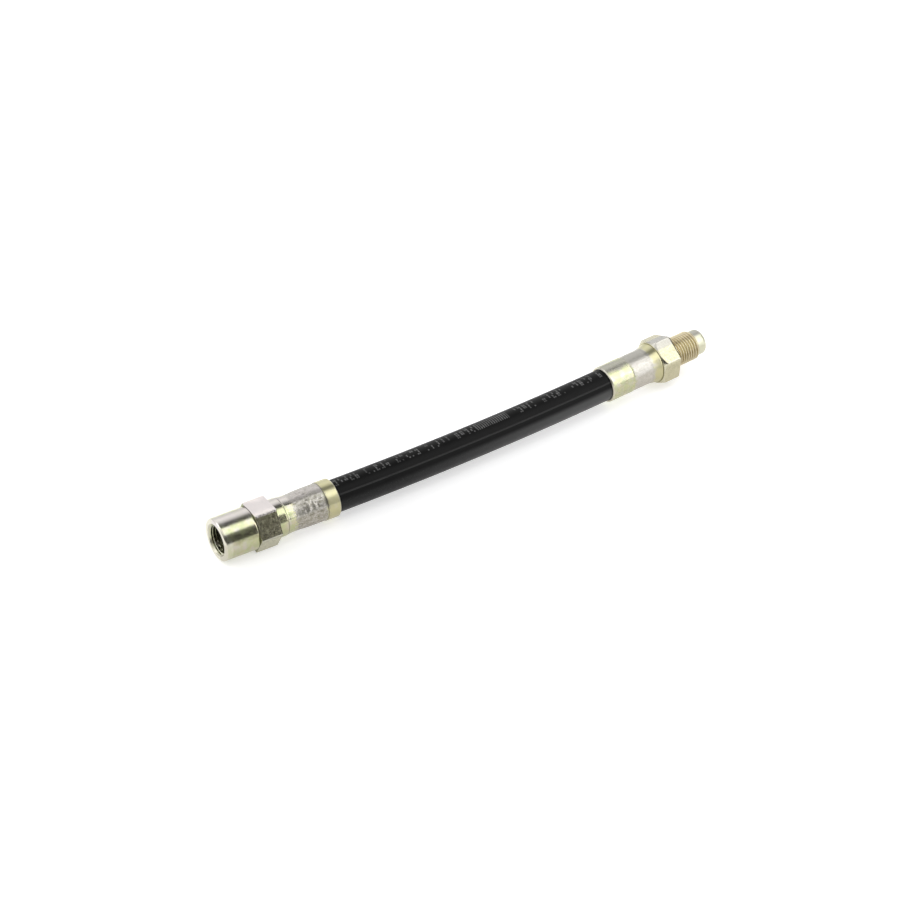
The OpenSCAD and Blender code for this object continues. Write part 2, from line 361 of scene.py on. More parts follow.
def plated_steel(name, scuffed, wrench, bright, thread, painted_top_tint, painted_upper_flat_tint, staining_and_shade, gloss):
    """Zinc plating with a pale yellow passivation. Each of the four zones is a pair of stations."""
    material, g = new_material(name)
    lay = g.attribute("lay", "Vector")
    station, side, height = g.split(lay)
    squares = g.math("ADD", g.math("MULTIPLY", side, side), g.math("MULTIPLY", height, height))
    radius = g.math("POWER", squares, 0.5)
    # The angle from the top, positive towards the side that bears the hose's rib
    angle = g.math("DEGREES", g.math("ARCTAN2", g.math("MULTIPLY", side, -1.0), height))
    broad = g.noise(lay, 0.17, 2.0)
    cloud = g.noise(lay, 0.5, 4.0, 0.6, 0.4)
    mottle = g.noise(lay, 1.25, 5.0, 0.75, 0.3)
    speckle = g.noise(lay, 5.0, 3.0, 0.7)
    turning = g.noise(g.stretch(lay, 9.0, 0.25, 0.25), 1.0, 3.0, 0.75)
    drawing = g.noise(g.stretch(lay, 0.35, 3.0, 3.0), 1.0, 4.0, 0.7)

    ragged = g.math("ADD", station, g.fit(mottle, 0.3, 0.7, -0.9, 0.9))
    scuff_start = g.fit(ragged, scuffed[0] - 0.3, scuffed[0] + 0.3)
    scuff_end = g.fit(ragged, scuffed[1] - 0.5, scuffed[1] + 0.5, 1.0, 0.0)
    outside = g.fit(radius, 5.35, 5.5)
    scuff_zone = g.math("MULTIPLY", g.math("MULTIPLY", scuff_start, scuff_end), outside)
    scuff = g.math("MULTIPLY", scuff_zone, g.fit(mottle, 0.2, 0.5, 0.6, 1.0))
    on_flat = g.band(station, wrench[0] + 0.05, wrench[1] - 0.05, 0.05)
    on_band = g.band(station, bright[0], bright[1], 0.4)
    on_thread = g.band(station, thread[0], thread[1], 0.3)
    on_rim = g.fit(station, 0.35, 0.5, 1.0, 0.0)

    # The tints by direction below stand for the photograph's light as well as for the plating
    facing_up = g.math("DIVIDE", height, radius)
    # A painted sheen on the side that faces up: pale on the female fitting, muted on the male one
    top = g.fit(g.math("ADD", facing_up, g.fit(broad, 0.3, 0.7, -0.03, 0.03)), 0.87, 0.975)
    top = g.math("MULTIPLY", top, g.math("SUBTRACT", 1.0, on_band))
    # The flat that faces up gets its own painted tint: a highlight on the female fitting, shade on the
    # male one
    painted_top_flat = g.math("MULTIPLY", on_flat, g.fit(height, 6.3, 6.6))
    tint = g.mix(g.fit(cloud, 0.28, 0.6), ZINC_WARM, ZINC_LIME)
    tint = g.mix(g.fit(g.noise(lay, 0.36, 3.0), 0.45, 0.75, 0.0, 0.7), tint, ZINC_PINK)
    tint = g.mix(g.math("MULTIPLY", on_band, g.fit(cloud, 0.3, 0.6, 0.55, 0.95)), tint, ZINC_BAND)
    tint = g.mix(g.math("MULTIPLY", on_rim, 0.9), tint, ZINC_RIM)
    dark_bar = g.mix(staining_and_shade, ZINC_WARM, ZINC_STAIN)
    pale_bar = g.mix(staining_and_shade, ZINC_WARM, ZINC_BAR)
    # Flats that face down are painted lighter, a painted reflection of the floor
    painted_low_flat_light = g.fit(height, -3.0, 1.0, 0.75, 0.0)
    bar = g.mix(g.math("ADD", g.fit(mottle, 0.38, 0.62), painted_low_flat_light), dark_bar, pale_bar)
    bar = g.mix(g.fit(speckle, 0.58, 0.74, 0.0, 0.6), bar, ZINC_BRIGHT)
    bar = g.mix(g.math("MULTIPLY", painted_top_flat, 0.94), bar, painted_upper_flat_tint)
    on_barrel = g.math("SUBTRACT", 1.0, g.math("MAXIMUM", on_flat, on_band))
    # A painted dark reflection in a band along the collar's side, mottled; the stain strength also scales
    # it
    dark_reflection_band = g.band(g.math("ADD", angle, g.fit(cloud, 0.3, 0.7, -6.0, 6.0)), 55.0, 70.0, 12.0)
    dark_reflection_band = g.math("MULTIPLY", dark_reflection_band, g.fit(mottle, 0.3, 0.6, 0.35, 1.0))
    dark_reflection_band = g.math("MULTIPLY", dark_reflection_band, g.band(station, 4.5, wrench[0] - 0.5, 3.0))
    dark_reflection_band = g.math("MULTIPLY", g.math("MULTIPLY", dark_reflection_band, on_barrel), 0.55 * staining_and_shade)
    tint = g.mix(dark_reflection_band, tint, ZINC_OLIVE)
    tint = g.mix(g.math("MULTIPLY", on_flat, 0.94), tint, bar)
    dull = g.mix(staining_and_shade, ZINC_SCUFFED, ZINC_DULL)
    worn = g.mix(g.fit(mottle, 0.35, 0.65), dull, ZINC_SCUFFED)
    worn = g.mix(g.fit(drawing, 0.5, 0.7, 0.0, 0.75 * staining_and_shade), worn, ZINC_STAIN)
    worn = g.mix(g.fit(speckle, 0.55, 0.75, 0.0, 0.65 * staining_and_shade), worn, ZINC_STAIN)
    tint = g.mix(scuff, tint, worn)
    tint = g.mix(g.fit(station, thread[1] + 0.1, thread[1] + 0.3), tint, ZINC_NOSE)
    # The painted top tint is weaker where the crimp scuffed the plating
    painted_top_share = g.math("MULTIPLY", top, g.fit(scuff, 0.0, 1.0, 0.85, 0.45 + 0.4 * (1.0 - staining_and_shade)))
    tint = g.mix(painted_top_share, tint, painted_top_tint)
    tint = g.mix(g.math("MULTIPLY", on_thread, 0.8), tint, ZINC_THREAD)
    # Painted shade on the underside, left off the stained flats
    plated = g.math("SUBTRACT", 1.0, g.math("MULTIPLY", on_flat, staining_and_shade))
    under = g.math("MULTIPLY", g.band(angle, 78.0, 150.0, 14.0), plated)
    tint = g.mix(under, tint, ZINC_SHADE, "MULTIPLY")
    # Above zero the attribute marks bright worn edges and painted glints; below zero, painted shade in
    # recesses and in the bore
    wear_and_painted_light = g.attribute("wear_and_painted_light", "Fac")
    edge = g.math("MULTIPLY", g.math("MAXIMUM", wear_and_painted_light, 0.0), g.fit(speckle, 0.3, 0.6, 0.3, 1.0))
    tint = g.mix(edge, tint, ZINC_BRIGHT)
    recess_shade = g.math("MAXIMUM", g.math("MULTIPLY", wear_and_painted_light, -1.0), 0.0)
    tint = g.mix(recess_shade, tint, ZINC_RECESS_SHADE)

    rough = g.fit(cloud, 0.3, 0.7, gloss, gloss + 0.08)
    rough = g.blend(on_flat, rough, g.fit(mottle, 0.3, 0.7, 0.28, 0.18))
    rough = g.blend(scuff, rough, g.fit(mottle, 0.3, 0.7, 0.46, 0.34))
    rough = g.blend(g.fit(station, thread[0], thread[0] + 0.2), rough, 0.33)
    rough = g.blend(on_band, rough, 0.3)
    rough = g.blend(recess_shade, rough, 0.6)

    plain = g.math("SUBTRACT", 1.0, on_flat)
    stained = g.math("MULTIPLY", on_flat, 0.08 + 0.55 * staining_and_shade)
    normal = g.bump(turning, 0.010, g.math("MULTIPLY", plain, 0.6))
    normal = g.bump(mottle, 0.07, stained, normal)
    normal = g.bump(drawing, 0.03, g.math("MULTIPLY", stained, 0.7), normal)
    normal = g.bump(mottle, 0.08, g.math("MULTIPLY", scuff, 0.6), normal)
    normal = g.bump(speckle, 0.010, 0.5, normal)
    finish_shader(g, {"Base Color": tint, "Metallic": 1.0, "Roughness": rough, "Normal": normal})
    return material


RUBBER = grey(0.001)
RUBBER_DUST = grey(0.003)
# Painted reflection of the floor on the hose's underside, stronger towards the male end
RUBBER_UNDER_SHEEN = grey(0.010)
RUBBER_UNDER_SHEEN_FAR = grey(0.070)
RUBBER_LINE = grey(0.030)
# A painted highlight along the rib
RUBBER_RIB_HIGHLIGHT = grey(0.045)
PRINT = grey(0.18)
PRINT_HALF_ANGLE = 19.0
PRINT_CELL = 0.62
RULED_CELL = 0.8
RULED = (53.0, 65.0)
RIB_ANGLE = 50.0
RUBBER_SHEEN = 0.14


def cover_rubber():
    """Smooth extruded rubber, with a faded line of random printed blocks along its top.

    The underside is painted lighter towards the male end: a painted reflection of the floor."""
    material, g = new_material("cover_rubber")
    lay = g.attribute("lay", "Vector")
    station, side, height = g.split(lay)
    # The angle from the top, positive towards the side that bears the rib
    angle = g.math("DEGREES", g.math("ARCTAN2", g.math("MULTIPLY", side, -1.0), height))
    haze = g.noise(lay, 0.22, 4.0, 0.6)
    grain = g.noise(lay, 4.0, 4.0, 0.65)
    fine = g.noise(lay, 13.0, 2.0, 0.5)
    drawn = g.noise(g.stretch(lay, 0.12, 2.4, 2.4), 1.0, 3.0, 0.6)

    share = g.math("DIVIDE", angle, PRINT_HALF_ANGLE)
    in_line = g.math("LESS_THAN", g.math("ABSOLUTE", share), 0.95)
    column = g.math("FLOOR", g.math("DIVIDE", station, PRINT_CELL))
    rows = g.math("MULTIPLY", share, 1.5)
    row = g.math("FLOOR", rows)
    seed = g.math("ADD", column, g.math("MULTIPLY", row, 211.3))
    chance = g.add("ShaderNodeTexWhiteNoise", {"W": seed}, noise_dimensions="1D").outputs[0]
    word = g.math("FRACT", g.math("DIVIDE", station, 11.2))
    blocks = g.math("MULTIPLY", g.math("GREATER_THAN", chance, 0.42), g.math("LESS_THAN", word, 0.84))
    gap = g.math("GREATER_THAN", g.math("FRACT", g.math("DIVIDE", station, 3.0 * PRINT_CELL)), 0.3)
    blocks = g.math("MULTIPLY", blocks, gap)
    apart = g.math("LESS_THAN", g.math("FRACT", g.math("DIVIDE", station, PRINT_CELL)), 0.78)
    apart = g.math("MULTIPLY", apart, g.math("LESS_THAN", g.math("FRACT", rows), 0.82))
    blocks = g.math("MULTIPLY", blocks, apart)
    rule = g.math("LESS_THAN", g.math("FRACT", g.math("DIVIDE", station, RULED_CELL)), 0.55)
    ruled = g.band(station, RULED[0], RULED[1], 0.1)
    ink = g.math("MULTIPLY", in_line, g.blend(ruled, blocks, rule))
    ink = g.math("MULTIPLY", ink, g.fit(grain, 0.36, 0.56, 0.25, 1.0))
    ink = g.math("MULTIPLY", ink, g.fit(haze, 0.3, 0.6, 0.35, 0.8))
    rib = g.band(angle, RIB_ANGLE - 1.5, RIB_ANGLE + 1.5, 3.0)

    tint = g.mix(g.fit(haze, 0.35, 0.7), RUBBER, RUBBER_DUST)
    # The underside is painted lighter, more so towards the male end and in grainy patches: a painted
    # reflection of the floor
    under = g.mix(g.fit(station, 10.0, 110.0), RUBBER_UNDER_SHEEN, RUBBER_UNDER_SHEEN_FAR)
    tint = g.mix(g.band(angle, 84.0, 140.0, 20.0), tint, under)
    tint = g.mix(g.fit(fine, 0.62, 0.8, 0.0, 0.5), tint, RUBBER_LINE)
    grainy_under_sheen = g.math("MULTIPLY", g.band(angle, 84.0, 140.0, 20.0), g.fit(grain, 0.5, 0.7, 0.0, 0.45))
    tint = g.mix(grainy_under_sheen, tint, RUBBER_UNDER_SHEEN_FAR)
    # The rib is painted lighter, a painted highlight along it
    tint = g.mix(g.math("MULTIPLY", rib, 0.6), tint, RUBBER_RIB_HIGHLIGHT)
    tint = g.mix(ink, tint, PRINT)
    rough = g.math("ADD", g.fit(haze, 0.3, 0.7, 0.38, 0.48), g.math("MULTIPLY", ink, 0.15))
    normal = g.bump(drawn, 0.012, 0.5)
    normal = g.bump(grain, 0.012, 0.5, normal)
    normal = g.bump(fine, 0.006, 0.5, normal)
    finish_shader(g, {
        "Base Color": tint, "Roughness": rough, "Specular IOR Level": RUBBER_SHEEN, "Normal": normal})
    return material


def liner_rubber():
    """Matt inner rubber, with a fine grain."""
    material, g = new_material("liner_rubber")
    lay = g.attribute("lay", "Vector")
    grain = g.noise(lay, 3.0, 4.0, 0.6)
    fine = g.noise(lay, 11.0, 2.0)
    tint = g.mix(g.fit(grain, 0.3, 0.7), grey(0.012), grey(0.030))
    normal = g.bump(fine, 0.01, 0.6, g.bump(grain, 0.03, 0.6))
    rough = g.fit(grain, 0.3, 0.7, 0.55, 0.7)
    finish_shader(g, {"Base Color": tint, "Roughness": rough, "Normal": normal})
    return material


def braid_yarn():
    """Off-white yarn, plaited in two directions round the hose."""
    material, g = new_material("braid_yarn")
    lay = g.attribute("lay", "Vector")
    station, side, height = g.split(lay)
    turn = g.math("ARCTAN2", height, side)
    plaits = 12.0
    rate = 2.1
    waves = []
    for hand in (-1.0, 1.0):
        phase = g.math("ADD", g.math("MULTIPLY", station, rate * hand), g.math("MULTIPLY", turn, plaits))
        waves.append(g.math("ABSOLUTE", g.math("SINE", g.math("MULTIPLY", phase, 0.5))))
    weave = g.math("MAXIMUM", waves[0], waves[1])
    fibre = g.noise(lay, 9.0, 3.0, 0.7)
    tint = g.mix(g.fit(weave, 0.6, 1.0), (0.42, 0.36, 0.26, 1), (0.78, 0.72, 0.60, 1))
    tint = g.mix(g.fit(fibre, 0.4, 0.7, 0.0, 0.35), tint, (0.55, 0.48, 0.37, 1))
    normal = g.bump(fibre, 0.03, 0.5, g.bump(weave, 0.15, 0.8))
    rough = g.fit(fibre, 0.3, 0.7, 0.7, 0.9)
    finish_shader(g, {"Base Color": tint, "Roughness": rough, "Normal": normal})
    return material


def nipple_steel(name, axis):
    """Turned steel, with fine rings round the given axis."""
    material, g = new_material(name)
    coords = g.add("ShaderNodeTexCoord").outputs["Object"]
    in_mm = g.stretch(coords, 1 / MM, 1 / MM, 1 / MM)
    along = g.add("ShaderNodeVectorMath", {0: in_mm, 1: axis}, operation="DOT_PRODUCT").outputs["Value"]
    ring_noise = {"W": along, "Scale": 7.0, "Detail": 3.0}
    rings = g.add("ShaderNodeTexNoise", ring_noise, noise_dimensions="1D").outputs[0]
    cloud = g.noise(in_mm, 0.8, 3.0)
    tint = g.mix(g.fit(cloud, 0.3, 0.7), (0.56, 0.55, 0.53, 1), (0.68, 0.67, 0.65, 1))
    rough = g.fit(rings, 0.3, 0.7, 0.22, 0.36)
    normal = g.bump(rings, 0.02, 0.6)
    finish_shader(g, {"Base Color": tint, "Metallic": 1.0, "Roughness": rough, "Normal": normal})
    return material


# ---------------------------------------------------------------- hose

def hose_frame(station):
    """Centre of the hose and the turn of its section, from the female shell's mouth."""
    lean = Matrix.Rotation(LEAN, 3, "X")
    on_arc = min(max(station, 0.0), HOSE_FREE)
    bend = on_arc / ARC_R
    turn = lean @ Matrix.Rotation(bend, 3, "Z") @ lean.inverted()
    centre = Vector((FEMALE_LEN, 0, 0))
    centre += lean @ Vector((ARC_R * math.sin(bend), ARC_R * (1 - math.cos(bend)), 0))
    centre += turn @ Vector((station - on_arc, 0, 0))
    return centre, turn


FEMALE_MOUTH = Vector(hose_frame(0.0)[0]) * MM
MALE_MOUTH = Vector(hose_frame(HOSE_FREE)[0]) * MM
MALE_PLACE = Matrix.Translation(MALE_MOUTH) @ hose_frame(HOSE_FREE)[1].to_4x4()

# Radii of the hose's layers: free, spread by the nipple, and under the crimp
LAYER_RADII = {
    "bore": (1.6, 1.97, 1.97, 1.97),
    "inner_tube": (2.55, 2.73, 2.6825, 2.6825),
    "inner_braid": (2.9, 3.0625, 2.9975, 2.9975),
    "cushion_layer": (3.15, 3.2875, 3.21, 3.21),
    "outer_braid": (3.5, 3.62, 3.525, 3.525),
    "cover": (HOSE_R, 5.31, 5.03, 4.88),
}


def clamp_depths(mouth_len, crimp_len, cut_end):
    """Depths in a shell at which the layers change radius, and which of their radii holds there."""
    return [
        (0.2, "free"), (2.2, "spread"), (mouth_len, "spread"), (mouth_len + RAMP, "crimp"),
        (mouth_len + crimp_len - RAMP, "crimp"), (mouth_len + crimp_len, "spread"), (cut_end, "spread"),
    ]


FEMALE_DEPTHS = clamp_depths(
    FEMALE_LEN - FEMALE_CRIMP_END, FEMALE_CRIMP_END - FEMALE_ROOT_END, HOSE_IN_FEMALE)
MALE_DEPTHS = clamp_depths(MALE_MOUTH_END, MALE_CRIMP_END - MALE_MOUTH_END, HOSE_IN_MALE)


def layer_radius(stations, radii):
    free, spread, female_crimp, male_crimp = radii
    in_female = {"free": free, "spread": spread, "crimp": female_crimp}
    in_male = {"free": free, "spread": spread, "crimp": male_crimp}
    line = [(-depth, in_female[kind]) for depth, kind in reversed(FEMALE_DEPTHS)]
    line += [(HOSE_FREE + depth, in_male[kind]) for depth, kind in MALE_DEPTHS]
    return np.interp(stations, [s for s, _ in line], [r for _, r in line])


def hose_stations(step):
    keys = [-depth for depth, _ in FEMALE_DEPTHS] + [HOSE_FREE + depth for depth, _ in MALE_DEPTHS]
    count = round((HOSE_IN_FEMALE + HOSE_FREE + HOSE_IN_MALE) / step)
    even = np.linspace(-HOSE_IN_FEMALE, HOSE_FREE + HOSE_IN_MALE, count + 1)
    apart = [s for s in even if min(abs(s - k) for k in keys) > step / 4]
    return np.array(sorted(keys + apart))


def hose_layer(name, inside, material, angles, step, relief=None):
    """One layer of the hose, bent along its arc."""
    stations = hose_stations(step)
    outer = layer_radius(stations, LAYER_RADII[name])
    inner = layer_radius(stations, LAYER_RADII[inside])
    path = np.concatenate([stations, stations[::-1]])
    radius = np.concatenate([outer, inner[::-1]])[:, None] * np.ones(len(angles))
    if relief is not None:
        radius[:len(stations)] += relief(stations, angles)
    y = radius * np.cos(angles)
    z = radius * np.sin(angles)
    lay = np.stack([path[:, None] * np.ones(len(angles)), y, z], axis=-1)
    points = np.empty_like(lay)
    for i, station in enumerate(path):
        centre, turn = hose_frame(float(station))
        spokes = np.stack([np.zeros(len(angles)), y[i], z[i]], axis=-1)
        points[i] = spokes @ np.array(turn).T + np.array(centre)
    piece = closed_skin(name + "_skin", points * MM, lay, np.zeros(radius.shape), material)
    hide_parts(name)
    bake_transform(piece)
    return piece


RIB_HEIGHT = 0.2
RIB_HALF_WIDTH = 3.5


def cover_relief(stations, angles):
    """The fine rib along the cover, which ends at the mouths of the shells."""
    from_rib = (np.degrees(angles) - 90 - RIB_ANGLE + 180) % 360 - 180
    rib = RIB_HEIGHT * np.clip(1 - np.abs(from_rib) / RIB_HALF_WIDTH, 0, 1)
    free = smooth_step(stations, 0.2, 1.5)
    free = free * (1 - smooth_step(stations, HOSE_FREE - 1.5, HOSE_FREE - 0.2))
    return free[:, None] * rib[None, :]


def cover_angles():
    """Even spokes, with closer ones across the rib."""
    even = np.arange(0, 360, 3.0)
    rib = (90 + RIB_ANGLE) % 360
    away = even[np.abs(even - rib) > 2 * RIB_HALF_WIDTH]
    across = rib + RIB_HALF_WIDTH * np.array([-1.6, -1.0, -0.5, 0.0, 0.5, 1.0, 1.6])
    return np.radians(np.sort(np.concatenate([away, across])))


cover = hose_layer("cover", "outer_braid", cover_rubber(), cover_angles(), 1.0, cover_relief)
route = [
    tuple(hose_frame(float(s))[0] * MM)
    for s in np.linspace(-HOSE_IN_FEMALE, HOSE_FREE + HOSE_IN_MALE, 72)
]

liner = liner_rubber()
yarn = braid_yarn()
even_angles = np.radians(np.arange(0, 360, 5.0))
hose_layer("outer_braid", "cushion_layer", yarn, even_angles, 2.0)
hose_layer("cushion_layer", "inner_braid", liner, even_angles, 2.0)
hose_layer("inner_braid", "inner_tube", yarn, even_angles, 2.0)
hose_layer("inner_tube", "bore", liner, even_angles, 2.0)


# ---------------------------------------------------------------- fittings

JAWS = 8
JAW_RIDGE = 0.03
JAW_EDGE = 0.07
STAMP_DEPTH = 0.09
STAMP_SPACING = 1.02
STAMP_SEED = 3
STAMP_ROWS = [(28.4, 5, -4), (28.0, 6, 9), (27.8, 8, 34), (28.2, 7, 46), (28.8, 6, 58), (28.0, 6, 208)]
# How dark the painted shade along the crimp's edge lines is, on each fitting
FEMALE_EDGE_SHADE = 0.7
MALE_EDGE_SHADE = 0.15
CRIMP_WALL = 1.0
SCUFF_START = 25.0
# The female shell narrows a little between its root and its crimp
WAIST_AT = 26.0
WAIST_HALF_LEN = 2.6
WAIST_DEPTH = 0.22


class Stamps:
    """Rows of random dents and bumps. A row is a first station, a count and an angle from the top."""

    def __init__(self, rows, seed):
        chance = np.random.default_rng(seed)
        self.dents = []
        for first, count, at in rows:
            for k in range(count):
                station = first + STAMP_SPACING * k + chance.uniform(-0.12, 0.12)
                angle = at + chance.uniform(-7, 7)
                half_length = chance.choice([0.25, 0.36, 0.5])
                half_width = chance.choice([3.0, 5.0, 7.0])
                depth = chance.choice([-0.6, 0.7, 1.0])
                self.dents.append((station, angle, half_length, half_width, depth))

    def share(self, station, from_top):
        total = np.zeros_like(from_top)
        for at, angle, half_length, half_width, depth in self.dents:
            along = math.exp(-((station - at) / half_length) ** 2)
            across = (from_top - angle + 180) % 360 - 180
            total += depth * along * np.exp(-(across / half_width) ** 2)
        return total


def crimp_marks(station, angles, start, end, edge_shade, stamps=None):
    """Relief and painted shade of the crimp: ridges between the jaws, a line at each edge and any stamps.
    """
    inside = smooth_step(station, start + 0.2, start + 0.8)
    inside = inside * (1 - smooth_step(station, end - 0.8, end - 0.2))
    from_gap = (np.degrees(angles) * JAWS / 360 % 1 - 0.5) * 360 / JAWS
    relief = inside * JAW_RIDGE * (np.exp(-(from_gap / 4) ** 2) - 0.3)
    line = sum(math.exp(-((station - edge_at) / 0.15) ** 2) for edge_at in (start, end))
    from_top = (np.degrees(angles) - 90 + 180) % 360 - 180
    dent = stamps.share(station, from_top) if stamps else 0.0
    # The line at each edge is deepest on the side that bears the hose's rib
    uneven = 0.55 + 0.45 * np.cos(np.radians(from_top - 40))
    relief = relief - JAW_EDGE * line * uneven - STAMP_DEPTH * dent
    return relief, -np.clip(edge_shade * line * uneven + 0.4 * dent, 0, 1)


def bore_inside(shell_len, crimp_near, crimp_far, crimp_bore, mouth, sign):
    """The hose's cavity, the nipple's seat and the start of the passage, from the shell's mouth in."""
    return [(mouth + sign * depth, radius) for depth, radius in [
        (0.0, SHELL_BORE_R), (crimp_near, SHELL_BORE_R), (crimp_near + RAMP, crimp_bore),
        (crimp_far - RAMP, crimp_bore), (crimp_far, SHELL_BORE_R), (crimp_far + TAIL, SHELL_BORE_R),
        (crimp_far + TAIL, SEAT_R), (crimp_far + TAIL + SEAT_LEN, SEAT_R),
        (crimp_far + TAIL + SEAT_LEN, PASSAGE_R), (shell_len, PASSAGE_R),
    ]]


def thread_height(station, angles, crest, root):
    """Height of a right-hand thread's flank, from 0 at its root to 1 at its crest."""
    phase = (station / PITCH - angles / (2 * math.pi)) % 1
    ramp = np.abs(2 * phase - 1)
    flank = np.clip((ramp - root) / (1 - crest - root), 0, 1)
    return 0.5 * flank + 0.5 * flank * flank * (3 - 2 * flank)


FEMALE_CORNER = 0.0
MALE_CORNER = 30.0 + MALE_WRENCH_TURN
FACE_R = 5.95
RINGS_PER_PITCH = 16
GROOVE = 0.14
# A zone of stations beyond the end of either fitting
NOWHERE = (90, 91)


def female_fitting():
    angles = spoke_angles(FEMALE_CORNER)
    corner_wear = np.exp(-(from_corner(angles, FEMALE_CORNER) / math.radians(1.6)) ** 2)
    rings = Rings(angles)
    rings.line(soften([(0, FACE_R), (0, COLLAR_R - 0.4), (0.4, COLLAR_R), (2, COLLAR_R)], 0.16), 0.25)
    for station in np.arange(2.5, COLLAR_LEN - 0.4, 0.5):
        rings.add(station, COLLAR_R)
    full = hexagon(angles, FEMALE_CORNER)
    inset = hexagon(angles, FEMALE_CORNER, WRENCH_FLAT - GROOVE, CORNER_ROUND)
    rings.add(COLLAR_LEN - 0.22, COLLAR_R)
    # Painted shade in the groove between the collar and the hexagon
    rings.add(COLLAR_LEN - 0.18, COLLAR_R - 0.02, -0.6)
    rings.add(COLLAR_LEN - 0.02, COLLAR_R - GROOVE, -0.9)
    rings.add(COLLAR_LEN, COLLAR_R - GROOVE, -0.9)
    rings.add(COLLAR_LEN, COLLAR_R - GROOVE + 0.02, -0.5)
    rings.add(COLLAR_LEN + 0.01, inset, -0.3)
    rings.add(COLLAR_LEN + 0.10, full, 0.5 * corner_wear)
    for station in np.linspace(COLLAR_LEN + 0.3, FEMALE_WRENCH_END - 0.3, 12):
        rings.add(station, full, 0.5 * corner_wear)
    rings.add(FEMALE_WRENCH_END - 0.10, full, 0.5 * corner_wear)
    rings.add(FEMALE_WRENCH_END - 0.01, inset, 0.3)
    # Painted shade where the hexagon meets the shell
    rings.add(FEMALE_WRENCH_END, FEMALE_SHELL_R + 0.08, -0.5)
    rings.add(FEMALE_WRENCH_END + 0.03, FEMALE_SHELL_R + 0.02, -0.8)
    rings.add(FEMALE_WRENCH_END + 0.20, FEMALE_SHELL_R)
    stations = np.arange(FEMALE_WRENCH_END + 0.3, FEMALE_LEN - 0.5, 0.15)
    base = np.interp(
        stations,
        [FEMALE_ROOT_END, FEMALE_ROOT_END + RAMP, FEMALE_CRIMP_END - RAMP, FEMALE_CRIMP_END],
        [FEMALE_SHELL_R, FEMALE_CRIMP_R, FEMALE_CRIMP_R, FEMALE_SHELL_R],
    )
    stamps = Stamps(STAMP_ROWS, STAMP_SEED)
    for station, radius in zip(stations, base):
        relief, recess_shade = crimp_marks(
            station, angles, FEMALE_ROOT_END, FEMALE_CRIMP_END, FEMALE_EDGE_SHADE, stamps)
        waist = WAIST_DEPTH * math.exp(-((station - WAIST_AT) / WAIST_HALF_LEN) ** 2)
        rings.add(station, radius + relief - waist, recess_shade)
    rim = [
        (FEMALE_LEN - 0.5, FEMALE_SHELL_R), (FEMALE_LEN - 0.4, FEMALE_SHELL_R),
        (FEMALE_LEN, FEMALE_SHELL_R - 0.4), (FEMALE_LEN, SHELL_BORE_R),
        (FEMALE_LEN - 1.0, SHELL_BORE_R),
    ]
    rings.line(soften(rim, 0.17), 0.45)
    inside = bore_inside(
        FEMALE_LEN - PORT_CONE_END, FEMALE_LEN - FEMALE_CRIMP_END, FEMALE_LEN - FEMALE_ROOT_END,
        FEMALE_CRIMP_R - CRIMP_WALL, FEMALE_LEN, -1)
    # Painted shade inside the shell's bore and at the bottom of the port
    rings.line(inside[1:], -0.5)
    rings.add(PORT_DEPTH, PORT_R, -0.8)
    steps = int(PORT_DEPTH / PITCH * RINGS_PER_PITCH)
    for station in np.linspace(PORT_DEPTH, 0, steps + 1)[1:-1]:
        cut = thread_height(station, angles, 0.16, 0.3) * (1 - smooth_step(station, 9.8, 11.2))
        radius = PORT_R + (THREAD_ROOT_R - PORT_R) * cut
        countersink = PORT_R + COUNTERSINK - station
        # The port's thread is painted dark for the shade inside it, less so on the crests near the mouth,
        # with painted glints on the lower flanks of its first turns
        crest = (1 - cut) * (1 - smooth_step(station, 1.5, 4.0))
        glint = smooth_step(-np.sin(angles), 0.2, 0.8) * (1 - smooth_step(station, 2.0, 4.0))
        thread_glint_and_shade = np.maximum(0.8 * crest, 1.4 * glint) - 1.0
        wear_and_painted_light = np.where(radius > countersink, thread_glint_and_shade, -0.2)
        rings.add(station, np.maximum(radius, countersink), wear_and_painted_light)
    rings.add(0.04, PORT_R + COUNTERSINK - 0.02, 0.3)
    rings.add(0.0, PORT_R + COUNTERSINK + 0.03, 0.3)
    lay = rings.local()
    steel = plated_steel(
        "plated_steel_female", scuffed=(SCUFF_START, FEMALE_CRIMP_END + 0.1),
        wrench=(COLLAR_LEN, FEMALE_WRENCH_END), bright=(FEMALE_CRIMP_END + 0.2, FEMALE_LEN),
        thread=NOWHERE, painted_top_tint=ZINC_PINK, painted_upper_flat_tint=ZINC_TOP_FLAT_SHEEN, staining_and_shade=1.0, gloss=0.17)
    piece = closed_skin("female_fitting_skin", lay * MM, lay, np.array(rings.wear_and_painted_light), steel)
    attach(piece, "female_end")
    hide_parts("female_fitting")


